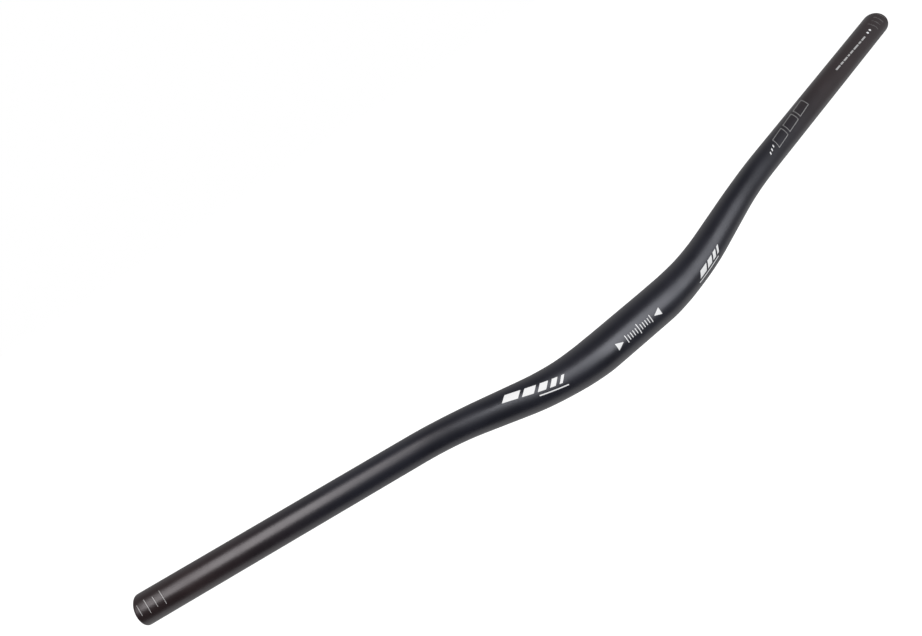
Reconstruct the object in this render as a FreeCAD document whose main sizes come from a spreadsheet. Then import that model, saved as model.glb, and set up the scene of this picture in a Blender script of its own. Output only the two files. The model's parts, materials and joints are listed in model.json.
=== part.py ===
import FreeCAD, Part
import math
import os
import Sketcher

# A riser handlebar for a mountain bike: one aluminium tube with a butted wall, swaged from a thick
# clamp zone down to slim grips and bent twice on each side. Millimetres and degrees.
# Origin at the middle of the clamp zone, X along the clamp axis, Y back towards the rider, Z up.
# One half is built on the +X side and mirrored.

HANDLEBAR = "handlebar"

# The driving sizes: name, value, what it sets.
SIZES = [
    ("bar_width", 780, "from end face to end face, at the tube's axis"),
    ("clamp_diameter", 31.8, "outside, where the stem grips the bar"),
    ("clamp_straight", 50, "straight length in the middle of the bar"),
    ("clamp_run_on", 5, "how far the clamp diameter runs on into each inner bend"),
    ("clamp_wall", 2.5, "tube wall in the clamp zone and the first taper"),
    ("inner_bend_radius", 262, "at the tube's axis, beside the clamp zone"),
    ("riser_up", 14.6, "climb of the straight riser, in degrees"),
    ("riser_back", 7.8, "sweep of the straight riser in plan, in degrees"),
    ("riser_straight", 34, "straight length between the two bends"),
    ("shoulder_length", 15, "the gentler taper at the end of each inner bend"),
    ("shoulder_diameter", 27.3, "outside, where the shoulder starts"),
    ("riser_diameter", 26.3, "outside, where the inner bend ends"),
    ("neck_diameter", 23.8, "outside, where the outer bend starts"),
    ("outer_bend_radius", 320, "at the tube's axis, beside the grip"),
    ("upsweep", 5, "climb of the grip, in degrees"),
    ("backsweep", 9, "sweep of the grip in plan, in degrees"),
    ("grip_diameter", 22.2, "outside, along the grip"),
    ("grip_wall", 2.1, "tube wall from the shoulder to the end"),
    ("end_round", 1.5, "rounding of the outer edge at each end, as far as the wall allows"),
    ("bore_chamfer", 0.3, "broken inner edge at each end"),
]

# What follows from them: the directions of riser and grip, each bend's turn, the roll of its plane
# about the tube, its tangent lengths, the straight length left for the grip, the turns of the
# stretches that each bend is made of, and the flat ring and rounding of the end faces.
BENDS = [
    ("riser_x", "cos(Sizes.riser_up) * cos(Sizes.riser_back)"),
    ("riser_y", "cos(Sizes.riser_up) * sin(Sizes.riser_back)"),
    ("riser_z", "sin(Sizes.riser_up)"),
    ("grip_x", "cos(Sizes.upsweep) * cos(Sizes.backsweep)"),
    ("grip_y", "cos(Sizes.upsweep) * sin(Sizes.backsweep)"),
    ("grip_z", "sin(Sizes.upsweep)"),
    ("inner_roll", "atan2(riser_z; riser_y)"),
    ("inner_turn", "acos(riser_x)"),
    ("inner_tangent", "Sizes.inner_bend_radius * tan(inner_turn / 2)"),
    ("grip_side", "grip_y * cos(inner_roll) + grip_z * sin(inner_roll)"),
    ("grip_over", "grip_z * cos(inner_roll) - grip_y * sin(inner_roll)"),
    ("grip_along", "grip_x * cos(inner_turn) + grip_side * sin(inner_turn)"),
    ("grip_across", "grip_side * cos(inner_turn) - grip_x * sin(inner_turn)"),
    ("outer_roll", "atan2(grip_over; grip_across)"),
    ("outer_turn", "acos(grip_along)"),
    ("outer_tangent", "Sizes.outer_bend_radius * tan(outer_turn / 2)"),
    ("riser_end", "inner_tangent + Sizes.riser_straight"),
    ("bends_x", "inner_tangent + riser_end * riser_x + outer_tangent * (riser_x + grip_x)"),
    ("grip_straight", "(Sizes.bar_width / 2 - Sizes.clamp_straight / 2 - bends_x) / grip_x"),
    ("run_on_turn", "Sizes.clamp_run_on / Sizes.inner_bend_radius * 1 rad"),
    ("shoulder_turn", "Sizes.shoulder_length / Sizes.inner_bend_radius * 1 rad"),
    ("third_turn", "(inner_turn - run_on_turn - shoulder_turn) / 3"),
    ("quarter_turn", "outer_turn / 4"),
    ("end_land", "Sizes.bore_chamfer / 2"),
    ("end_rounding", "min(Sizes.end_round; Sizes.grip_wall - Sizes.bore_chamfer - end_land)"),
]

# Planes of the two bends, each with its origin where the bend starts and X along the tube.
INNER_PLANE = "placement(vector(Sizes.clamp_straight / 2; 0; 0); rotationx(Bends.inner_roll))"
OUTER_PLANE = (
    INNER_PLANE + " * placement(vector("
    "Bends.inner_tangent + Bends.riser_end * cos(Bends.inner_turn); "
    "Bends.riser_end * sin(Bends.inner_turn); 0); "
    "rotationz(Bends.inner_turn) * rotationx(Bends.outer_roll))"
)

doc = FreeCAD.newDocument("riser_handlebar")


def new_sheet(name, rows):
    """A sheet with one named cell a row; row holds the name, the cell's text and perhaps a note."""
    sheet = doc.addObject("Spreadsheet::Sheet", name)
    for line, (alias, text, *note) in enumerate(rows, start=1):
        sheet.set(f"A{line}", alias)
        sheet.set(f"B{line}", text)
        sheet.setAlias(f"B{line}", alias)
        sheet.set(f"C{line}", " ".join(note))
    doc.recompute()
    return sheet


def bind(sketch, constraint, formula):
    """Add a constraint to a sketch and tie its value to the sheets."""
    index = sketch.addConstraint(constraint)
    sketch.setExpression(f"Constraints[{index}]", formula)


def origin_plane(body, role):
    """One of the body's own base planes."""
    return next(plane for plane in body.Origin.OriginFeatures if plane.Role == role)


def new_bend(body, name, plane, radius, turns):
    """The axis of one bend, which leaves along X: a chain of arcs, one for each stretch of the taper."""
    bend = body.newObject("Sketcher::SketchObject", name)
    bend.AttachmentSupport = [(origin_plane(body, "XY_Plane"), "")]
    bend.MapMode = "FlatFace"
    bend.setExpression("AttachmentOffset", plane)
    # How a sketch numbers its axes and the points of a curve.
    x_axis, y_axis = -1, -2
    start, end, centre = 1, 2, 3
    # The first guess of the arcs, which the constraints then set.
    guess_radius = 300.0
    guess_turn = math.radians(3)
    circle = Part.Circle(FreeCAD.Vector(0, guess_radius, 0), FreeCAD.Vector(0, 0, 1), guess_radius)
    angles = [number * guess_turn - math.pi / 2 for number in range(len(turns) + 1)]
    arcs = [bend.addGeometry(Part.ArcOfCircle(circle, *span)) for span in zip(angles, angles[1:])]
    bend.addConstraint(Sketcher.Constraint("Coincident", arcs[0], start, x_axis, start))
    bend.addConstraint(Sketcher.Constraint("PointOnObject", arcs[0], centre, y_axis))
    bind(bend, Sketcher.Constraint("Radius", arcs[0], guess_radius), radius)
    for before, after in zip(arcs, arcs[1:]):
        bend.addConstraint(Sketcher.Constraint("Coincident", before, end, after, start))
        bend.addConstraint(Sketcher.Constraint("Coincident", before, centre, after, centre))
    for arc, turn in zip(arcs, turns):
        bind(bend, Sketcher.Constraint("Angle", arc, guess_turn), turn)
    doc.recompute()
    return bend


def new_section(body, name, bend, stretch, share, diameter, wall):
    """The tube's ring across a bend, at the start (0) or end (1) of one of its stretches."""
    section = body.newObject("Sketcher::SketchObject", name)
    section.AttachmentSupport = [(bend, f"Edge{stretch}")]
    section.MapMode = "NormalToEdge"
    section.MapPathParameter = share
    origin, start, centre = -1, 1, 3
    for size in (diameter, f"{diameter} - 2 * {wall}"):
        guess = Part.Circle()
        ring = section.addGeometry(guess)
        section.addConstraint(Sketcher.Constraint("Coincident", ring, centre, origin, start))
        bind(section, Sketcher.Constraint("Diameter", ring, 2 * guess.Radius), size)
    doc.recompute()
    return section


def sweep(body, name, bend, sections):
    """The wall of one bend: rings swept along its axis from the first section through the others."""
    swept = body.newObject("PartDesign::AdditivePipe", name)
    swept.Profile = sections[0]
    swept.Sections = [(section, [""]) for section in sections[1:]]
    swept.Spine = (bend, [f"Edge{number + 1}" for number in range(bend.GeometryCount)])
    swept.Transformation = "Multisection"
    doc.recompute()


def new_run(body, name, section, length, outwards):
    """A straight run of tube from a section, towards the bar's end or towards its middle."""
    run = body.newObject("PartDesign::Pad", name)
    run.Profile = section
    run.setExpression("Length", length)
    run.Reversed = outwards
    doc.recompute()
    return run


def end_edges(feature, diameter):
    """Names of the round edges of this diameter that lie farthest along X."""
    same = 1e-6
    rounds = []
    for number, edge in enumerate(feature.Shape.Edges, start=1):
        circle = edge.Curve
        if isinstance(circle, Part.Circle) and abs(2 * circle.Radius - diameter) < same:
            rounds.append((circle.Center.x, f"Edge{number}"))
    farthest = max(x for x, _ in rounds)
    return [name for x, name in rounds if farthest - x < same]


def dress_end(body, kind, name, base, diameter, amount, size):
    """Break the end edge of this diameter, by a Fillet or a Chamfer."""
    dressed = body.newObject(kind, name)
    dressed.Base = (base, end_edges(base, diameter))
    dressed.setExpression(amount, size)
    doc.recompute()
    return dressed


def build_handlebar():
    """The bar: runs of tube and two bends between them, dressed at the end and mirrored."""
    body = doc.addObject("PartDesign::Body", HANDLEBAR)
    body.Label = HANDLEBAR
    # The tapers: along the inner bend from clamp to shoulder, easing in and out, and on to the riser;
    # along the riser to the neck; along the outer bend to the grip, most of it in the first half.
    clamp = "Sizes.clamp_diameter"
    shoulder = "Sizes.shoulder_diameter"
    riser = "Sizes.riser_diameter"
    neck = "Sizes.neck_diameter"
    grip = "Sizes.grip_diameter"
    near_clamp = f"(5 * {clamp} + 2 * {shoulder}) / 7"
    near_shoulder = f"(2 * {clamp} + 5 * {shoulder}) / 7"
    below_neck = f"(2 * {neck} + 3 * {grip}) / 5"
    near_grip = f"({neck} + 11 * {grip}) / 12"
    thick = "Sizes.clamp_wall"
    thin = "Sizes.grip_wall"
    between = f"({thick} + {thin}) / 2"
    inner = new_bend(
        body, "inner_axis", INNER_PLANE, "Sizes.inner_bend_radius",
        ["Bends.run_on_turn", *["Bends.third_turn"] * 3, "Bends.shoulder_turn"],
    )
    inner_sections = [
        new_section(body, "clamp_end", inner, 1, 0, clamp, thick),
        new_section(body, "taper_start", inner, 2, 0, clamp, thick),
        new_section(body, "first_third", inner, 3, 0, near_clamp, thick),
        new_section(body, "second_third", inner, 4, 0, near_shoulder, between),
        new_section(body, "shoulder_start", inner, 5, 0, shoulder, thin),
        new_section(body, "riser_start", inner, 5, 1, riser, thin),
    ]
    outer = new_bend(
        body, "outer_axis", OUTER_PLANE, "Sizes.outer_bend_radius", ["Bends.quarter_turn"] * 4
    )
    outer_sections = [
        new_section(body, "neck", outer, 1, 0, neck, thin),
        new_section(body, "first_quarter", outer, 2, 0, below_neck, thin),
        new_section(body, "second_quarter", outer, 3, 0, near_grip, thin),
        new_section(body, "third_quarter", outer, 4, 0, grip, thin),
        new_section(body, "grip_start", outer, 4, 1, grip, thin),
    ]

    new_run(body, "clamp_run", inner_sections[0], "Sizes.clamp_straight / 2", False)
    sweep(body, "inner_bend", inner, inner_sections)
    riser_run = body.newObject("PartDesign::AdditiveLoft", "riser_run")
    riser_run.Profile = inner_sections[-1]
    riser_run.Sections = [(outer_sections[0], [""])]
    riser_run.Ruled = True
    doc.recompute()
    sweep(body, "outer_bend", outer, outer_sections)
    grip_run = new_run(body, "grip_run", outer_sections[-1], "Bends.grip_straight", True)
    outside = sizes.get("grip_diameter")
    bore = outside - 2 * sizes.get("grip_wall")
    rounded = dress_end(
        body, "PartDesign::Fillet", "end_rounding", grip_run, outside, "Radius", "Bends.end_rounding"
    )
    dress_end(body, "PartDesign::Chamfer", "bore_edge", rounded, bore, "Size", "Sizes.bore_chamfer")
    both = body.newObject("PartDesign::Mirrored", "both_halves")
    both.TransformMode = "Whole shape"
    both.MirrorPlane = (origin_plane(body, "YZ_Plane"), [""])
    body.Tip = both
    doc.recompute()
    return body


def check_document():
    """Stop if any object of the document failed to compute."""
    for thing in doc.Objects:
        if "Invalid" in thing.State or "Error" in thing.State:
            raise RuntimeError(f"{thing.Name} failed: {thing.State}")


def write_part(body):
    """Write the sub-part's solid to the file named by its label."""
    shape = body.Shape
    if shape.isNull() or not shape.isValid() or len(shape.Solids) != 1:
        raise RuntimeError(f"{body.Label} is not one valid solid")
    os.makedirs("parts", exist_ok=True)
    shape.exportStep(f"parts/{body.Label}.step")


sizes = new_sheet("Sizes", [(name, str(value), note) for name, value, note in SIZES])
new_sheet("Bends", [(name, f"={formula}") for name, formula in BENDS])
handlebar = build_handlebar()
check_document()
write_part(handlebar)
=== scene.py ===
"""Riser handlebar for a mountain bike, dressed for pictures.

The tube is drawn again as one fine skin, outside and bore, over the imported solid.
Thin printed marks lie on it, and a plain white studio stands round it.
"""

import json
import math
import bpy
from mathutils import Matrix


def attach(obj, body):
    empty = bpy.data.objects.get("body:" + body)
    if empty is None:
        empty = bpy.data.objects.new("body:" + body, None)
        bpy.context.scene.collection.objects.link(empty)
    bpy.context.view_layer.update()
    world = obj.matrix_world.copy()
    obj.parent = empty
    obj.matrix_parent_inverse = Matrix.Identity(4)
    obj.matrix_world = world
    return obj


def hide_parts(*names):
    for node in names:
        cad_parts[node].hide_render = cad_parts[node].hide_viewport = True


bl_info = {
    "name": "Riser Handlebar",
    "version": (1, 0, 0),
    "blender": (4, 5, 0),
    "location": "3D View > Sidebar > Handlebar",
    "description": "Draws the anodised tube, its printed marks and a plain studio over the packed handlebar",
    "category": "Add Mesh",
}

import bmesh
import bpy
from bpy.props import FloatProperty, FloatVectorProperty, IntProperty, PointerProperty
from mathutils import Matrix, Vector

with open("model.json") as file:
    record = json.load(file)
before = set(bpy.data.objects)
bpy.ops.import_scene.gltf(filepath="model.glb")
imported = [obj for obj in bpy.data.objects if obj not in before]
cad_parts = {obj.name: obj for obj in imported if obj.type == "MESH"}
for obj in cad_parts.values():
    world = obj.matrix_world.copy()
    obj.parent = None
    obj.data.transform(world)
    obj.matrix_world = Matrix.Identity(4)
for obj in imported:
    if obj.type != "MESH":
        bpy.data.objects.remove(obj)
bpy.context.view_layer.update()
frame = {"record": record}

MM = 0.001
MOUNTS = {mount["name"]: mount["dims"] for mount in frame["record"]["mounts"]}
GRAIN_SIZE = 0.35 * MM

# A Mix node's sockets for each kind of value: the two that it blends and the one that it gives.
MIX_SOCKETS = {"FLOAT": (2, 3, 0), "RGBA": (6, 7, 2)}
# Where the slow drift of tone counts as low and as high.
DRIFT_SPAN = (0.3, 0.7)
# A corner that turns by more than this stays sharp.
CREASE = math.radians(35)

# Distances between the tube's rings, and the steps round the edge of an end.
CLAMP_STEP = 5 * MM
BEND_STEP = 2.5 * MM
GRIP_STEP = 6 * MM
LIP_STEPS = 6

# Longest steps of an ink film along the bar, round it and along a line, and the steps across half a dot.
FILM_ALONG = 1.2 * MM
FILM_ROUND = 0.7 * MM
LINE_STEP = 1.0 * MM
DOT_STEPS = 3

# The camera's place, and its directions to the right and down.
CAMERA_PLACE = (-0.192114, -0.349619, 0.274535)
CAMERA_RIGHT = (0.770047, -0.425255, -0.475590)
CAMERA_DOWN = (-0.603557, -0.244001, -0.759067)


class BarSettings(bpy.types.PropertyGroup):
    """Sizes and finish of the tube, with the colour cast of the light painted into its black."""

    bar_width: FloatProperty(
        name="Bar Width",
        description="Width between the middles of the two end faces",
        default=780 * MM,
        unit="LENGTH",
    )
    clamp_diameter: FloatProperty(
        name="Clamp Diameter",
        description="Outside diameter where the stem holds the bar",
        default=2 * MOUNTS["stem_clamp"]["r_mm"] * MM,
        unit="LENGTH",
        precision=4,
    )
    clamp_straight: FloatProperty(
        name="Clamp Straight",
        description="Straight length in the middle of the bar",
        default=MOUNTS["stem_clamp"]["length_mm"] * MM,
        unit="LENGTH",
    )
    clamp_run_on: FloatProperty(
        name="Clamp Run-on",
        description="Length past the straight that keeps the clamp diameter",
        default=5 * MM,
        unit="LENGTH",
    )
    clamp_wall: FloatProperty(
        name="Clamp Wall",
        description="Wall of the tube at the clamp",
        default=2.5 * MM,
        unit="LENGTH",
        precision=4,
    )
    inner_bend_radius: FloatProperty(
        name="Inner Bend Radius",
        description="Radius of the bend from the clamp into the riser",
        default=262 * MM,
        unit="LENGTH",
    )
    riser_up: FloatProperty(
        name="Riser Up",
        description="Angle by which the riser climbs",
        default=math.radians(14.6),
        subtype="ANGLE",
    )
    riser_back: FloatProperty(
        name="Riser Back",
        description="Angle by which the riser leans to the rider",
        default=math.radians(7.8),
        subtype="ANGLE",
    )
    riser_straight: FloatProperty(
        name="Riser Straight",
        description="Length of the coned straight between the bends",
        default=34 * MM,
        unit="LENGTH",
    )
    shoulder_length: FloatProperty(
        name="Shoulder Length",
        description="Length of the slow taper that ends the inner bend",
        default=15 * MM,
        unit="LENGTH",
    )
    shoulder_diameter: FloatProperty(
        name="Shoulder Diameter",
        description="Outside diameter where that slow taper starts",
        default=27.3 * MM,
        unit="LENGTH",
        precision=4,
    )
    riser_diameter: FloatProperty(
        name="Riser Diameter",
        description="Outside diameter at the foot of the riser",
        default=26.3 * MM,
        unit="LENGTH",
        precision=4,
    )
    neck_diameter: FloatProperty(
        name="Neck Diameter",
        description="Outside diameter at the top of the riser",
        default=23.8 * MM,
        unit="LENGTH",
        precision=4,
    )
    outer_bend_radius: FloatProperty(
        name="Outer Bend Radius",
        description="Radius of the bend from the riser into the grip",
        default=320 * MM,
        unit="LENGTH",
    )
    upsweep: FloatProperty(
        name="Upsweep",
        description="Angle by which the grip climbs",
        default=math.radians(5),
        subtype="ANGLE",
    )
    backsweep: FloatProperty(
        name="Backsweep",
        description="Angle by which the grip leans to the rider",
        default=math.radians(9),
        subtype="ANGLE",
    )
    grip_diameter: FloatProperty(
        name="Grip Diameter",
        description="Outside diameter where the grips go on",
        default=2 * MOUNTS["left_grip"]["r_mm"] * MM,
        unit="LENGTH",
        precision=4,
    )
    grip_wall: FloatProperty(
        name="Grip Wall",
        description="Wall of the tube from the shoulder to the end",
        default=(MOUNTS["left_grip"]["r_mm"] - MOUNTS["left_end_bore"]["r_mm"]) * MM,
        unit="LENGTH",
        precision=4,
    )
    end_round: FloatProperty(
        name="End Rounding",
        description="Radius on the outer edge of the ends",
        default=1.5 * MM,
        unit="LENGTH",
        precision=4,
    )
    bore_chamfer: FloatProperty(
        name="Bore Chamfer",
        description="Chamfer on the inner edge of the ends",
        default=0.3 * MM,
        unit="LENGTH",
        precision=4,
    )
    facets: IntProperty(
        name="Facets",
        description="Flats round the tube",
        default=96,
        min=24,
    )
    # Painted colour cast of the light: a cool cast laid into the anodising's black from riser to riser.
    middle_cast_colour: FloatVectorProperty(
        name="Middle Colour",
        description="Black of the anodising from riser to riser",
        default=(0.0046, 0.0055, 0.0118),
        subtype="COLOR",
        min=0,
        max=1,
    )
    # Painted colour cast of the light: a warmer, lighter cast laid into the anodising's black on the grips.
    grip_cast_colour: FloatVectorProperty(
        name="Grip Colour",
        description="Warmer black of the anodising on the grips",
        default=(0.0172, 0.0085, 0.0092),
        subtype="COLOR",
        min=0,
        max=1,
    )
    roughness: FloatProperty(
        name="Roughness",
        description="How far the blasted surface spreads a highlight",
        default=0.37,
        subtype="FACTOR",
        min=0,
        max=1,
    )
    grain_size: FloatProperty(
        name="Grain Size",
        description="Size of the dimples that blasting leaves",
        default=GRAIN_SIZE,
        unit="LENGTH",
        precision=5,
    )


class InkSettings(bpy.types.PropertyGroup):
    """Sizes and colours of the printed marks."""

    white: FloatVectorProperty(
        name="White Ink",
        description="Colour of the bold marks",
        default=(0.88, 0.88, 0.88),
        subtype="COLOR",
        min=0,
        max=1,
    )
    grey: FloatVectorProperty(
        name="Grey Ink",
        description="Colour of the fine marks",
        default=(0.45, 0.445, 0.44),
        subtype="COLOR",
        min=0,
        max=1,
    )
    lift: FloatProperty(
        name="Ink Lift",
        description="Height of the ink over the tube",
        default=0.03 * MM,
        unit="LENGTH",
        precision=5,
    )
    trim_start: FloatProperty(
        name="Trim Start",
        description="Distance of the first trim mark from the end",
        default=3.35 * MM,
        unit="LENGTH",
        precision=4,
    )
    trim_pitch: FloatProperty(
        name="Trim Pitch",
        description="Distance from one trim mark to the next",
        default=5.52 * MM,
        unit="LENGTH",
        precision=4,
    )
    trim_width: FloatProperty(
        name="Trim Width",
        description="Thickness of a trim mark's line",
        default=0.16 * MM,
        unit="LENGTH",
        precision=4,
    )
    stripe_height: FloatProperty(
        name="Stripe Height",
        description="Height of the slanted stripes right of the clamp",
        default=5.6 * MM,
        unit="LENGTH",
        precision=4,
    )


class StageSettings(bpy.types.PropertyGroup):
    """The floor, the lights and the camera."""

    floor_drop: FloatProperty(
        name="Floor Drop",
        description="Distance of the floor below the clamp",
        default=0.45,
        unit="LENGTH",
    )
    floor_colour: FloatVectorProperty(
        name="Floor Colour",
        description="Colour of the floor",
        default=(0.7, 0.7, 0.7),
        subtype="COLOR",
        min=0,
        max=1,
    )
    over_power: FloatProperty(
        name="Over Power",
        description="Power of the soft box over the right grip",
        default=8.9,
        unit="POWER",
    )
    side_power: FloatProperty(
        name="Side Power",
        description="Power of the soft box in front of the clamp",
        default=7.7,
        unit="POWER",
    )
    room_level: FloatProperty(
        name="Room Level",
        description="Strength of the light that comes from all round",
        default=0.22,
        min=0,
    )
    room_mirror: FloatProperty(
        name="Room Mirror",
        description="Brightness of the room over and behind the bar in a reflection",
        default=0.51,
        min=0,
    )
    dark_mirror: FloatProperty(
        name="Dark Mirror",
        description="Brightness of the room behind the camera in a reflection",
        default=0.07,
        min=0,
    )
    right_share: FloatProperty(
        name="Right Share",
        description="Share of the room's brightness that is left on the right in a reflection",
        default=0.82,
        subtype="FACTOR",
        min=0,
        max=1,
    )
    lens: FloatProperty(
        name="Lens",
        description="Focal length of the camera",
        default=23.818,
        unit="CAMERA",
    )


def heading(up, back):
    """Direction that climbs by one angle and leans back by another, outward along +X."""
    return Vector((math.cos(up) * math.cos(back), math.cos(up) * math.sin(back), math.sin(up)))


class CentreLine:
    """The bar's centre line: straights and bends laid end to end along +X, mirrored for the other half."""

    def __init__(self, bar):
        level = Vector((1, 0, 0))
        rise = heading(bar.riser_up, bar.riser_back)
        sweep = heading(bar.upsweep, bar.backsweep)
        self.runs = []
        self.length = 0.0
        self.tip = Vector((0, 0, 0))
        self.straight(level, bar.clamp_straight / 2)
        self.bend_start = self.length
        self.bend(level, rise, bar.inner_bend_radius)
        self.riser_start = self.length
        self.straight(rise, bar.riser_straight)
        self.riser_end = self.length
        self.bend(rise, sweep, bar.outer_bend_radius)
        self.grip_start = self.length
        self.straight(sweep, (bar.bar_width / 2 - self.tip.x) / sweep.x)

    def add(self, length, place):
        """Lays one more run, whose place gives the point and the direction at a distance along it."""
        self.runs.append((self.length, place))
        self.tip = place(length)[0]
        self.length += length

    def straight(self, along, length):
        """Lays a straight run."""
        start = self.tip.copy()
        self.add(length, lambda d: (start + d * along, along))

    def bend(self, before, after, radius):
        """Lays an arc that turns from one direction to another."""
        start = self.tip.copy()
        inward = (after - before * before.dot(after)).normalized()

        def place(d):
            turn = d / radius
            point = start + radius * (math.sin(turn) * before + (1 - math.cos(turn)) * inward)
            return point, math.cos(turn) * before + math.sin(turn) * inward

        self.add(radius * before.angle(after), place)

    def at(self, s):
        """The point at distance s from the middle, and the directions up and to the front there."""
        reach = abs(s)
        start, place = [run for run in self.runs if run[0] <= reach][-1]
        point, along = place(reach - start)
        if s < 0:
            point = Vector((-point.x, point.y, point.z))
            along = Vector((along.x, -along.y, -along.z))
        up = (Vector((0, 0, 1)) - along.z * along).normalized()
        return point, up, along.cross(up)


class Taper:
    """A radius along the bar, eased through a table of stations and straight between the cone's two."""

    def __init__(self, stations, cone):
        self.s = [station[0] for station in stations]
        self.r = [station[1] for station in stations]
        secants = [
            (r1 - r0) / (s1 - s0) for s0, s1, r0, r1 in zip(self.s, self.s[1:], self.r, self.r[1:])
        ]
        self.slopes = [0.0]
        for i in range(1, len(stations) - 1):
            if self.s[i] in cone:
                self.slopes.append(secants[self.s.index(cone[0])])
                continue
            before, after = self.s[i] - self.s[i - 1], self.s[i + 1] - self.s[i]
            self.slopes.append((secants[i - 1] * after + secants[i] * before) / (before + after))
        self.slopes.append(0.0)

    def at(self, s):
        """The radius at distance s from the middle."""
        reach = abs(s)
        if reach <= self.s[0]:
            return self.r[0]
        if reach >= self.s[-1]:
            return self.r[-1]
        i = max(k for k, start in enumerate(self.s) if start <= reach)
        span = self.s[i + 1] - self.s[i]
        t = (reach - self.s[i]) / span
        return (
            (2 * t**3 - 3 * t**2 + 1) * self.r[i]
            + (t**3 - 2 * t**2 + t) * span * self.slopes[i]
            + (3 * t**2 - 2 * t**3) * self.r[i + 1]
            + (t**3 - t**2) * span * self.slopes[i + 1]
        )


def bar_tapers(bar, line):
    """Outer and bore radii along the bar, full at the clamp and tapered through both bends to the grip."""
    clamp, shoulder = bar.clamp_diameter / 2, bar.shoulder_diameter / 2
    neck, grip = bar.neck_diameter / 2, bar.grip_diameter / 2
    near_clamp = (5 * clamp + 2 * shoulder) / 7
    near_shoulder = (2 * clamp + 5 * shoulder) / 7
    below_neck = (2 * neck + 3 * grip) / 5
    near_grip = (neck + 11 * grip) / 12
    clamp_end = bar.clamp_straight / 2 + bar.clamp_run_on
    shoulder_start = line.riser_start - bar.shoulder_length
    third = (shoulder_start - clamp_end) / 3
    quarter = (line.grip_start - line.riser_end) / 4
    outside = [
        (clamp_end, clamp),
        (clamp_end + third, near_clamp),
        (clamp_end + 2 * third, near_shoulder),
        (shoulder_start, shoulder),
        (line.riser_start, bar.riser_diameter / 2),
        (line.riser_end, neck),
        (line.riser_end + quarter, below_neck),
        (line.riser_end + 2 * quarter, near_grip),
        (line.riser_end + 3 * quarter, grip),
        (line.grip_start, grip),
    ]
    walls = [bar.clamp_wall, bar.clamp_wall, (bar.clamp_wall + bar.grip_wall) / 2]
    walls += [bar.grip_wall] * (len(outside) - len(walls))
    inside = [(s, r - wall) for (s, r), wall in zip(outside, walls)]
    cone = (line.riser_start, line.riser_end)
    return Taper(outside, cone), Taper(inside, cone)


def link_piece(name, mesh, material):
    """A finished mesh as a piece that rides on the bar's one body."""
    mesh.materials.append(material)
    piece = bpy.data.objects.new(name, mesh)
    bpy.context.scene.collection.objects.link(piece)
    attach(piece, "root")
    return piece


def rgba(colour, level=1.0):
    """A colour, perhaps darkened, as a socket takes it."""
    return (*[level * channel for channel in colour], 1)


def new_group(name, inputs, outputs):
    """An empty shader node group with named sockets."""
    group = bpy.data.node_groups.new(name, "ShaderNodeTree")
    for label, kind, default in inputs:
        socket = group.interface.new_socket(label, in_out="INPUT", socket_type=kind)
        if default is not None:
            socket.default_value = default
    for label, kind in outputs:
        group.interface.new_socket(label, in_out="OUTPUT", socket_type=kind)
    return group


def blasted_grain():
    """The group that gives every finish its blasted dimples and its slow drift of tone."""
    if "blasted_grain" in bpy.data.node_groups:
        return bpy.data.node_groups["blasted_grain"]
    group = new_group(
        "blasted_grain",
        [("Place", "NodeSocketVector", None), ("Grain Size", "NodeSocketFloat", GRAIN_SIZE)],
        [("Dimples", "NodeSocketFloat"), ("Drift", "NodeSocketFloat")],
    )
    nodes, links = group.nodes, group.links
    given, out = nodes.new("NodeGroupInput"), nodes.new("NodeGroupOutput")
    finer = nodes.new("ShaderNodeMath")
    finer.operation = "DIVIDE"
    finer.inputs[0].default_value = 1.0
    links.new(given.outputs["Grain Size"], finer.inputs[1])
    dimples = nodes.new("ShaderNodeTexNoise")
    dimples.inputs["Detail"].default_value = 2.0
    dimples.inputs["Roughness"].default_value = 0.55
    links.new(given.outputs["Place"], dimples.inputs["Vector"])
    links.new(finer.outputs[0], dimples.inputs["Scale"])
    links.new(dimples.outputs["Fac"], out.inputs["Dimples"])
    drift = nodes.new("ShaderNodeTexNoise")
    drift.inputs["Scale"].default_value = 38.0
    drift.inputs["Detail"].default_value = 3.0
    links.new(given.outputs["Place"], drift.inputs["Vector"])
    links.new(drift.outputs["Fac"], out.inputs["Drift"])
    return group


def new_material(name):
    """An empty material with its shader, and the surface coordinates that its texture follows."""
    material = bpy.data.materials.new(name)
    material.use_nodes = True
    nodes = material.node_tree.nodes
    shader = nodes["Principled BSDF"]
    place = nodes.new("ShaderNodeTexCoord")
    return material, nodes, material.node_tree.links, shader, place.outputs["Object"]


def eased(nodes, links, value, span, result):
    """A value that runs over one span, eased to run over another."""
    ramp = nodes.new("ShaderNodeMapRange")
    ramp.interpolation_type = "SMOOTHSTEP"
    for label, number in zip(("From Min", "From Max", "To Min", "To Max"), (*span, *result)):
        ramp.inputs[label].default_value = number
    links.new(value, ramp.inputs["Value"])
    return ramp.outputs["Result"]


def joined(nodes, links, operation, first, second):
    """The result of one operation on two values."""
    node = nodes.new("ShaderNodeMath")
    node.operation = operation
    links.new(first, node.inputs[0])
    links.new(second, node.inputs[1])
    return node.outputs[0]


def new_mix(nodes, kind="RGBA"):
    """A blend of two colours or numbers: its factor, the two of them, and the result."""
    mix = nodes.new("ShaderNodeMix")
    mix.data_type = kind
    first, second, result = MIX_SOCKETS[kind]
    return mix.inputs[0], mix.inputs[first], mix.inputs[second], mix.outputs[result]


def add_grain(nodes, links, shader, place, size, strength):
    """Places the grain group and feeds its dimples to the shader's normal."""
    grain = nodes.new("ShaderNodeGroup")
    grain.node_tree = blasted_grain()
    grain.inputs["Grain Size"].default_value = size
    links.new(place, grain.inputs["Place"])
    bump = nodes.new("ShaderNodeBump")
    bump.inputs["Strength"].default_value = strength
    bump.inputs["Distance"].default_value = 0.05 * MM
    links.new(grain.outputs["Dimples"], bump.inputs["Height"])
    links.new(bump.outputs["Normal"], shader.inputs["Normal"])
    return grain


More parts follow.
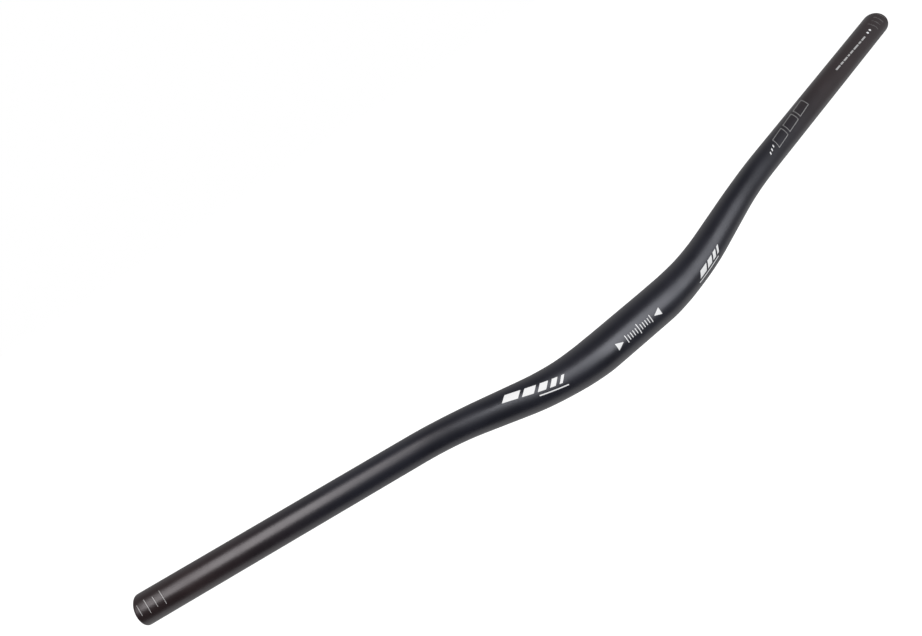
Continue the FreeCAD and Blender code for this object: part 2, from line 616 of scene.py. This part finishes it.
def black_anodising(bar):
    """Matte black anodising over a blasted tube, with a painted colour cast of the light: cool in the
    middle, warmer and lighter on the grips.
    """
    material, nodes, links, shader, place = new_material("black_anodising")
    grain = add_grain(nodes, links, shader, place, bar.grain_size, strength=0.25)
    shader.inputs["IOR"].default_value = 1.76
    shader.inputs["Specular Tint"].default_value = (0.98, 0.96, 1.0, 1)

    apart = nodes.new("ShaderNodeSeparateXYZ")
    links.new(place, apart.inputs[0])
    # Along X, where the painted cool cast of the middle turns into the painted warm cast of a grip.
    left_fade, right_fade = (0.17, 0.30), (-0.37, -0.22)
    left_grip_cast = eased(nodes, links, apart.outputs["X"], left_fade, (0.0, 1.0))
    right_grip_cast = eased(nodes, links, apart.outputs["X"], right_fade, (1.0, 0.0))
    tone_by, tone_a, tone_b, tone_out = new_mix(nodes)
    tone_a.default_value = rgba(bar.middle_cast_colour)
    tone_b.default_value = rgba(bar.grip_cast_colour)
    links.new(joined(nodes, links, "MAXIMUM", left_grip_cast, right_grip_cast), tone_by)

    tone_swing = 0.12
    depth = eased(nodes, links, grain.outputs["Drift"], DRIFT_SPAN, (1 - tone_swing, 1 + tone_swing))
    shade = nodes.new("ShaderNodeVectorMath")
    shade.operation = "SCALE"
    links.new(tone_out, shade.inputs[0])
    links.new(depth, shade.inputs["Scale"])
    links.new(shade.outputs[0], shader.inputs["Base Color"])

    gloss_swing = 0.03
    glossy, dull = bar.roughness - gloss_swing, bar.roughness + gloss_swing
    links.new(
        eased(nodes, links, grain.outputs["Drift"], DRIFT_SPAN, (glossy, dull)),
        shader.inputs["Roughness"],
    )
    return material


def printed_ink(name, colour, bar):
    """Thin ink that follows the grain under it, with pinholes where a dimple kept it out."""
    if name in bpy.data.materials:
        return bpy.data.materials[name]
    material, nodes, links, shader, place = new_material(name)
    grain = add_grain(nodes, links, shader, place, bar.grain_size, strength=0.12)
    shader.inputs["Specular IOR Level"].default_value = 0.3
    pinhole_span, pinhole_level = (0.24, 0.36), 0.45
    tone_by, tone_a, tone_b, tone_out = new_mix(nodes)
    tone_a.default_value = rgba(colour, pinhole_level)
    tone_b.default_value = rgba(colour)
    links.new(eased(nodes, links, grain.outputs["Dimples"], pinhole_span, (0.0, 1.0)), tone_by)
    links.new(tone_out, shader.inputs["Base Color"])
    glossy, dull = 0.46, 0.54
    links.new(
        eased(nodes, links, grain.outputs["Drift"], DRIFT_SPAN, (glossy, dull)),
        shader.inputs["Roughness"],
    )
    return material


def spaced(start, end, step):
    """Even stations from start to end, no further apart than step, without the last."""
    rounding = 1e-6
    count = max(1, math.ceil((end - start) / step - rounding))
    return [start + (end - start) * i / count for i in range(count)]


class HANDLEBAR_OT_draw_tube(bpy.types.Operator):
    """Draw the tube's outside, bore and rounded ends as one closed skin"""

    bl_idname = "handlebar.draw_tube"
    bl_label = "Draw Tube"

    def execute(self, context):
        bar = context.scene.handlebar_bar
        line = CentreLine(bar)
        rings = self.shape_rings(bar, line)
        points, faces = [], []
        for s, r in rings:
            middle, up, front = line.at(s)
            for k in range(bar.facets):
                turn = 2 * math.pi * k / bar.facets
                points.append(middle + r * (math.cos(turn) * up + math.sin(turn) * front))
        for i in range(len(rings)):
            a, b = i * bar.facets, (i + 1) % len(rings) * bar.facets
            for k in range(bar.facets):
                n = (k + 1) % bar.facets
                faces.append((a + k, a + n, b + n, b + k))
        mesh = bpy.data.meshes.new("tube")
        mesh.from_pydata(points, [], faces)
        mesh.shade_smooth()
        mesh.set_sharp_from_angle(angle=CREASE)
        if mesh.validate():
            raise RuntimeError("the tube's skin has broken faces")
        piece = link_piece("tube", mesh, black_anodising(bar))
        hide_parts("handlebar")
        return {"FINISHED"}

    def shape_rings(self, bar, line):
        """Place along the bar and radius of each ring, out along the outside and back through the bore."""
        outer, bore = bar_tapers(bar, line)
        tip = line.length

        def half(last):
            stations = spaced(0, line.bend_start, CLAMP_STEP)
            stations += spaced(line.bend_start, line.grip_start, BEND_STEP)
            return stations + spaced(line.grip_start, last, GRIP_STEP) + [last]

        rings = [(s, outer.at(s)) for s in half(tip - bar.end_round)]
        for i in range(1, LIP_STEPS + 1):
            turn = math.radians(90 * i / LIP_STEPS)
            along = tip - bar.end_round * (1 - math.sin(turn))
            rings.append((along, outer.at(tip) - bar.end_round * (1 - math.cos(turn))))
        rings.append((tip, bore.at(tip) + bar.bore_chamfer))
        rings += [(s, bore.at(s)) for s in reversed(half(tip - bar.bore_chamfer))]
        return rings + [(-s, r) for s, r in reversed(rings)][1:-1]


class InkSheet:
    """Gathers printed shapes, each a grid of places on the bar, and lays them on it as thin closed films."""

    def __init__(self, bar, ink):
        self.line = CentreLine(bar)
        self.outer = bar_tapers(bar, self.line)[0]
        self.lift = ink.lift
        self.points, self.faces = [], []

    def lay(self, grid, closed=False):
        """A film over a grid of (distance along the bar, angle from the top to the front)."""
        rows, columns = len(grid), len(grid[0])
        start = len(self.points)
        sunk = -2 * self.lift
        for height in (self.lift, sunk):
            for row in grid:
                for s, angle in row:
                    middle, up, front = self.line.at(s)
                    r = self.outer.at(s) + height
                    self.points.append(middle + r * (math.cos(angle) * up + math.sin(angle) * front))
        under = rows * columns

        def corner(i, j, layer=0):
            return start + layer * under + i % rows * columns + j

        spans = rows if closed else rows - 1
        for i in range(spans):
            for j in range(columns - 1):
                top = [corner(i, j), corner(i, j + 1), corner(i + 1, j + 1), corner(i + 1, j)]
                self.faces.append(top)
                self.faces.append([p + under for p in reversed(top)])
            for j, way in ((0, 1), (columns - 1, -1)):
                side = [corner(i, j), corner(i + 1, j), corner(i + 1, j, 1), corner(i, j, 1)]
                self.faces.append(side[::way])
        if not closed:
            for i, way in ((0, -1), (rows - 1, 1)):
                for j in range(columns - 1):
                    side = [corner(i, j), corner(i, j + 1), corner(i, j + 1, 1), corner(i, j, 1)]
                    self.faces.append(side[::way])

    def placed(self, anchor, x, y):
        """A flat drawing's point, x along the bar and y down its front, as a place on the bar.

        The anchor holds the drawing's place along the bar, its angle from the top and its turn for
        each metre along the bar.
        """
        s0, angle0, drift = anchor
        s = s0 + x
        return s, angle0 + drift * x + y / self.outer.at(s)

    def panel(self, anchor, corners):
        """A filled four-sided shape."""
        a, b, c, d = [Vector(corner) for corner in corners]
        across = max(2, math.ceil(max((b - a).length, (c - d).length) / FILM_ALONG))
        down = max(2, math.ceil(max((d - a).length, (c - b).length) / FILM_ROUND))
        grid = []
        for i in range(across + 1):
            upper, lower = a.lerp(b, i / across), d.lerp(c, i / across)
            grid.append([self.placed(anchor, *upper.lerp(lower, j / down)) for j in range(down + 1)])
        self.lay(grid)

    def stripe(self, anchor, x, width, height, lean):
        """A filled stripe that leans along the bar."""
        slide = lean * height / 2
        self.panel(
            anchor,
            [
                (x + slide, -height / 2),
                (x + width + slide, -height / 2),
                (x + width - slide, height / 2),
                (x - slide, height / 2),
            ],
        )

    def stroke(self, anchor, corners, width, closed=False):
        """A line of even width through some points, mitred at its corners."""
        corners = [Vector(corner) for corner in corners]
        ends = corners + corners[:1] if closed else corners
        sides = [Vector((a.y - b.y, b.x - a.x)).normalized() for a, b in zip(ends, ends[1:])]
        middle, offsets = [], []
        for i, (a, b) in enumerate(zip(ends, ends[1:])):
            before = sides[i - 1] if i or closed else sides[i]
            mitre = before + sides[i]
            mitre *= 1 / mitre.dot(sides[i])
            middle.append(a)
            offsets.append(mitre)
            steps = max(1, math.ceil((b - a).length / LINE_STEP))
            for k in range(1, steps):
                middle.append(a.lerp(b, k / steps))
                offsets.append(sides[i])
        if not closed:
            middle.append(ends[-1])
            offsets.append(sides[-1])
        grid = []
        for point, offset in zip(middle, offsets):
            grid.append([self.placed(anchor, *(point + offset * width * t)) for t in (-0.5, 0.0, 0.5)])
        self.lay(grid, closed)

    def dot(self, anchor, x, radius):
        """A filled round dot."""
        grid = []
        for i in range(-DOT_STEPS, DOT_STEPS + 1):
            row = []
            for j in range(-DOT_STEPS, DOT_STEPS + 1):
                u, v = i / DOT_STEPS, j / DOT_STEPS
                u, v = u * math.sqrt(1 - v * v / 2), v * math.sqrt(1 - u * u / 2)
                row.append(self.placed(anchor, x + radius * u, radius * v))
            grid.append(row)
        self.lay(grid)

    def finish(self, name, material):
        """Makes the films that were gathered into one piece."""
        mesh = bpy.data.meshes.new(name)
        mesh.from_pydata(self.points, [], self.faces)
        if mesh.validate():
            raise RuntimeError(f"{name} has broken faces")
        shape = bmesh.new()
        shape.from_mesh(mesh)
        bmesh.ops.recalc_face_normals(shape, faces=shape.faces)
        shape.to_mesh(mesh)
        shape.free()
        mesh.shade_smooth()
        mesh.set_sharp_from_angle(angle=CREASE)
        link_piece(name, mesh, material)


class HANDLEBAR_OT_print_trim_marks(bpy.types.Operator):
    """Print the short and long lines at both ends that guide a saw"""

    bl_idname = "handlebar.print_trim_marks"
    bl_label = "Print Trim Marks"

    def execute(self, context):
        bar, ink = context.scene.handlebar_bar, context.scene.handlebar_ink
        right = self.draw_end(bar, ink, side=-1, middle=51.5, shift=0.55 * MM, askew=True)
        right.finish("trim_marks_right", printed_ink("white_ink", ink.white, bar))
        left = self.draw_end(bar, ink, side=1, middle=44.5, shift=-0.55 * MM, askew=False)
        left.finish("trim_marks_left", printed_ink("grey_ink", ink.grey, bar))
        return {"FINISHED"}

    def draw_end(self, bar, ink, side, middle, shift, askew):
        """Four marks at one end, long after short, their middle at an angle from the top."""
        sheet = InkSheet(bar, ink)
        grip = bar.grip_diameter / 2
        short, long = math.radians(20), math.radians(27)
        lean, bow = (1.5 * MM, 2.9 * MM) if askew else (0.0, 0.0)
        marks, steps = 4, 4
        for i in range(marks):
            s = side * (sheet.line.length - ink.trim_start - shift - i * ink.trim_pitch)
            reach = long if i % 2 else short
            turns = [reach * k / steps for k in range(-steps, steps + 1)]
            points = [(lean * turn - bow * turn * turn, turn * grip) for turn in turns]
            sheet.stroke((s, math.radians(middle), 0.0), points, ink.trim_width)
        return sheet


class HANDLEBAR_OT_print_clamp_marks(bpy.types.Operator):
    """Print the centring scale and its two pointers at the clamp"""

    bl_idname = "handlebar.print_clamp_marks"
    bl_label = "Print Clamp Marks"

    def execute(self, context):
        bar, ink = context.scene.handlebar_bar, context.scene.handlebar_ink
        white = printed_ink("white_ink", ink.white, bar)
        anchor = (-2.5 * MM, math.radians(69), 0.0)
        scale = InkSheet(bar, ink)
        pitch, line_width = 2.5 * MM, 0.7 * MM
        last = 5
        middle_reach = 4.2 * MM
        last_reach = 3.2 * MM
        short_reach = 2.2 * MM
        for i in range(-last, last + 1):
            reach = {0: middle_reach, last: last_reach}.get(abs(i), short_reach)
            scale.stroke(anchor, [(pitch * i, -reach), (pitch * i, reach)], line_width)
        scale.finish("centring_scale", white)
        pointers = InkSheet(bar, ink)
        half_base, half_nose = 3.0 * MM, 0.15 * MM
        for side in (-1, 1):
            base, nose = 22.4 * MM * side, 16.1 * MM * side
            corners = [(base, -half_base), (nose, -half_nose), (nose, half_nose), (base, half_base)]
            pointers.panel(anchor, corners)
        pointers.finish("clamp_pointers", white)
        return {"FINISHED"}


class HANDLEBAR_OT_print_stripes(bpy.types.Operator):
    """Print the slanted white stripes on both sides of the clamp"""

    bl_idname = "handlebar.print_stripes"
    bl_label = "Print Stripes"

    def execute(self, context):
        bar, ink = context.scene.handlebar_bar, context.scene.handlebar_ink
        white = printed_ink("white_ink", ink.white, bar)
        lean, line_width = 0.8, 0.9 * MM

        right = InkSheet(bar, ink)
        anchor = (-118 * MM, math.radians(31), math.radians(24) / (48 * MM))
        gap, line_drop = 3.0 * MM, 5.6 * MM
        x = 0.0
        for width in (12 * MM, 9 * MM, 6.5 * MM, 4.5 * MM, 2.5 * MM):
            right.stripe(anchor, x, width, ink.stripe_height, lean)
            x += width + gap
        right.stroke(anchor, [(25 * MM, line_drop), (48 * MM, line_drop)], line_width)
        right.finish("stripes_right", white)

        left = InkSheet(bar, ink)
        anchor = (92 * MM, math.radians(76), -math.radians(8) / (40 * MM))
        gap, line_drop = 2.0 * MM, 4.4 * MM
        height = 4.6 * MM
        x = 0.0
        for width in (2.5 * MM, 4 * MM, 6 * MM, 8.5 * MM):
            x -= width
            left.stripe(anchor, x, width, height, lean)
            x -= gap
        left.stroke(anchor, [(-31 * MM, line_drop), (-4 * MM, line_drop)], line_width)
        left.finish("stripes_left", white)
        return {"FINISHED"}


class HANDLEBAR_OT_print_grip_marks(bpy.types.Operator):
    """Print the dashes, outlined boxes, dots and small bars on the left grip"""

    bl_idname = "handlebar.print_grip_marks"
    bl_label = "Print Grip Marks"

    def execute(self, context):
        bar, ink = context.scene.handlebar_bar, context.scene.handlebar_ink
        self.draw_lines(bar, ink).finish("grip_lines", printed_ink("grey_ink", ink.grey, bar))

        white = printed_ink("white_ink", ink.white, bar)
        dots = InkSheet(bar, ink)
        anchor = (366 * MM, math.radians(45), 0.0)
        for x in (0.0, 4.4 * MM):
            dots.dot(anchor, x, radius=1.1 * MM)
        dots.finish("grip_dots", white)

        bars = InkSheet(bar, ink)
        anchor = (189 * MM, math.radians(47), -math.radians(18) / (14 * MM))
        for x in (0.0, 4 * MM, 8 * MM):
            bars.stripe(anchor, x, width=1.5 * MM, height=1.7 * MM, lean=0.8)
        bars.finish("grip_bars", white)
        return {"FINISHED"}

    def draw_lines(self, bar, ink):
        """A row of dashes near the end and three slanted boxes in outline near the bend."""
        lines = InkSheet(bar, ink)
        anchor = (307 * MM, math.radians(40), math.radians(7) / (55 * MM))
        gap, dash_width = 1.3 * MM, 1.5 * MM
        x = 0.0
        for length in (7 * MM, 4.5 * MM, 6 * MM, 3 * MM, 5 * MM, 8 * MM, 4 * MM, 6.5 * MM):
            lines.stroke(anchor, [(x, 0), (x + length, 0)], dash_width)
            x += length + gap
        anchor = (200 * MM, math.radians(38), -math.radians(20) / (60 * MM))
        length, slant = 16 * MM, 4 * MM
        half_height = 4 * MM
        line_width = 0.36 * MM
        for x in (0.0, 20 * MM, 40 * MM):
            corners = [
                (x + slant, -half_height),
                (x + slant + length, -half_height),
                (x + length, half_height),
                (x, half_height),
            ]
            lines.stroke(anchor, corners, line_width, closed=True)
        return lines


def seen(nodes, links, path):
    """One for rays that show the background itself, straight or through glass."""
    straight, through = path.outputs["Is Camera Ray"], path.outputs["Is Transmission Ray"]
    return joined(nodes, links, "MAXIMUM", straight, through)


def floor_paper(stage):
    """White paper, whose glow keeps it pale to the camera and dimmer in a reflection."""
    material, nodes, links, shader, place = new_material("floor_paper")
    material.cycles.emission_sampling = "NONE"
    shader.inputs["Roughness"].default_value = 0.9
    shader.inputs["Specular IOR Level"].default_value = 0.0
    shader.inputs["Emission Strength"].default_value = 1.0
    fibre = nodes.new("ShaderNodeTexNoise")
    fibre.inputs["Scale"].default_value = 60.0
    links.new(place, fibre.inputs["Vector"])
    fibre_level = 0.99
    tone_by, tone_a, tone_b, tone_out = new_mix(nodes)
    tone_a.default_value = rgba(stage.floor_colour, fibre_level)
    tone_b.default_value = rgba(stage.floor_colour)
    links.new(fibre.outputs["Fac"], tone_by)
    links.new(tone_out, shader.inputs["Base Color"])

    white = (1, 1, 1)
    mirrored_level = 0.2
    seen_level = 0.9
    path = nodes.new("ShaderNodeLightPath")
    mirrored_by, mirrored_a, mirrored_b, mirrored_out = new_mix(nodes)
    mirrored_a.default_value = rgba(white, 0)
    mirrored_b.default_value = rgba(white, mirrored_level)
    links.new(path.outputs["Is Glossy Ray"], mirrored_by)
    glow_by, glow_a, glow_b, glow_out = new_mix(nodes)
    links.new(mirrored_out, glow_a)
    glow_b.default_value = rgba(white, seen_level)
    links.new(seen(nodes, links, path), glow_by)
    links.new(glow_out, shader.inputs["Emission Color"])
    return material


class HANDLEBAR_OT_set_stage(bpy.types.Operator):
    """Set up the white floor, the soft lamps and the camera"""

    bl_idname = "handlebar.set_stage"
    bl_label = "Set Stage"

    def execute(self, context):
        scene, stage = context.scene, context.scene.handlebar_stage
        scene.view_settings.view_transform = "Standard"
        self.lay_floor(scene, stage)
        self.light_room(scene, stage)
        self.hang_lamp(
            scene,
            "over_box",
            place=(-0.63, -0.52, 0.96),
            aim=(-0.33, 0.03, 0.03),
            size=(0.64, 1.06),
            power=stage.over_power,
            colour=(1.0, 0.967, 0.95),
        )
        self.hang_lamp(
            scene,
            "side_box",
            place=(0.47, -0.89, 0.57),
            aim=(0.05, 0.0, 0.0),
            size=(0.58, 1.11),
            power=stage.side_power,
            colour=(0.92, 0.955, 0.99),
        )
        self.place_camera(scene, stage)
        return {"FINISHED"}

    def lay_floor(self, scene, stage):
        """A sheet of paper under and behind the bar, which ends in front of it."""
        mesh = bpy.data.meshes.new("floor")
        side, front, back = 5, -0.36, 6
        z = -stage.floor_drop
        corners = [(-side, front, z), (side, front, z), (side, back, z), (-side, back, z)]
        mesh.from_pydata(corners, [], [(0, 1, 2, 3)])
        mesh.materials.append(floor_paper(stage))
        floor = bpy.data.objects.new("floor", mesh)
        scene.collection.objects.link(floor)

    def light_room(self, scene, stage):
        """A white room that the bar mirrors as dim behind the camera and a little dimmer on the right."""
        world = bpy.data.worlds.new("white_room")
        world.use_nodes = True
        world.cycles.sampling_method = "NONE"
        scene.world = world
        nodes, links = world.node_tree.nodes, world.node_tree.links
        place = nodes.new("ShaderNodeTexCoord")
        apart = nodes.new("ShaderNodeSeparateXYZ")
        links.new(place.outputs["Generated"], apart.inputs[0])
        to_left, to_back = apart.outputs["X"], apart.outputs["Y"]
        # How far a ray points back or to the left where the mirrored room changes.
        back_span = (0.07, 0.94)
        right_span = (-0.14, 0.14)
        left_span = (0.37, 0.81)
        left_level = 0.33
        depth = eased(nodes, links, to_back, back_span, (stage.dark_mirror, stage.room_mirror))
        share = eased(nodes, links, to_left, right_span, (stage.right_share, 1.0))
        left = eased(nodes, links, to_left, left_span, (0.0, left_level))
        dimmed = joined(nodes, links, "MULTIPLY", depth, share)
        room = joined(nodes, links, "MAXIMUM", dimmed, left)
        path = nodes.new("ShaderNodeLightPath")
        mirrored_by, mirrored_a, mirrored_b, mirrored_out = new_mix(nodes, "FLOAT")
        mirrored_a.default_value = stage.room_level
        links.new(path.outputs["Is Glossy Ray"], mirrored_by)
        links.new(room, mirrored_b)
        level_by, level_a, level_b, level_out = new_mix(nodes, "FLOAT")
        level_b.default_value = 1.0
        links.new(seen(nodes, links, path), level_by)
        links.new(mirrored_out, level_a)
        background = nodes["Background"]
        background.inputs["Color"].default_value = (1, 1, 1, 1)
        links.new(level_out, background.inputs["Strength"])

    def hang_lamp(self, scene, name, place, aim, size, power, colour):
        """A soft box that the camera doesn't see, turned to light one place."""
        light = bpy.data.lights.new(name, "AREA")
        light.shape = "RECTANGLE"
        light.size, light.size_y = size
        light.energy = power
        light.color = colour
        lamp = bpy.data.objects.new(name, light)
        lamp.location = place
        lamp.rotation_euler = (Vector(place) - Vector(aim)).to_track_quat("Z", "Y").to_euler()
        lamp.visible_camera = False
        scene.collection.objects.link(lamp)

    def place_camera(self, scene, stage):
        """The camera, in front of the bar's right half and above it."""
        camera = bpy.data.cameras.new("camera")
        camera.sensor_fit = "HORIZONTAL"
        camera.sensor_width = 36
        camera.lens = stage.lens
        camera.clip_start, camera.clip_end = 0.01, 50
        eye = bpy.data.objects.new("camera", camera)
        right, up = Vector(CAMERA_RIGHT), -Vector(CAMERA_DOWN)
        turn = Matrix((right, up, right.cross(up))).transposed()
        eye.matrix_world = Matrix.Translation(CAMERA_PLACE) @ turn.to_4x4()
        scene.collection.objects.link(eye)
        scene.camera = eye


OPERATORS = (
    HANDLEBAR_OT_draw_tube,
    HANDLEBAR_OT_print_trim_marks,
    HANDLEBAR_OT_print_clamp_marks,
    HANDLEBAR_OT_print_stripes,
    HANDLEBAR_OT_print_grip_marks,
    HANDLEBAR_OT_set_stage,
)


SETTINGS = (
    ("handlebar_bar", BarSettings),
    ("handlebar_ink", InkSettings),
    ("handlebar_stage", StageSettings),
)


class HANDLEBAR_PT_bench(bpy.types.Panel):
    """Lists the handlebar's pieces and their settings"""

    bl_idname = "HANDLEBAR_PT_bench"
    bl_label = "Riser Handlebar"
    bl_space_type = "VIEW_3D"
    bl_region_type = "UI"
    bl_category = "Handlebar"

    def draw(self, context):
        for operator in OPERATORS:
            self.layout.operator(operator.bl_idname)
        for settings, _ in SETTINGS:
            group = getattr(context.scene, settings)
            column = self.layout.column(align=True)
            for name in group.__annotations__:
                column.prop(group, name)


def register():
    """Adds the settings, the operators and the panel to Blender."""
    for name, group in SETTINGS:
        bpy.utils.register_class(group)
        setattr(bpy.types.Scene, name, PointerProperty(type=group))
    for cls in (*OPERATORS, HANDLEBAR_PT_bench):
        bpy.utils.register_class(cls)


def unregister():
    """Takes them out again, the last first."""
    for cls in reversed((*OPERATORS, HANDLEBAR_PT_bench)):
        bpy.utils.unregister_class(cls)
    for name, group in reversed(SETTINGS):
        delattr(bpy.types.Scene, name)
        bpy.utils.unregister_class(group)


def main():
    """Draws every piece and the stage."""
    register()
    bpy.ops.handlebar.draw_tube()
    bpy.ops.handlebar.print_trim_marks()
    bpy.ops.handlebar.print_clamp_marks()
    bpy.ops.handlebar.print_stripes()
    bpy.ops.handlebar.print_grip_marks()
    bpy.ops.handlebar.set_stage()


if __name__ == "__main__":
    main()
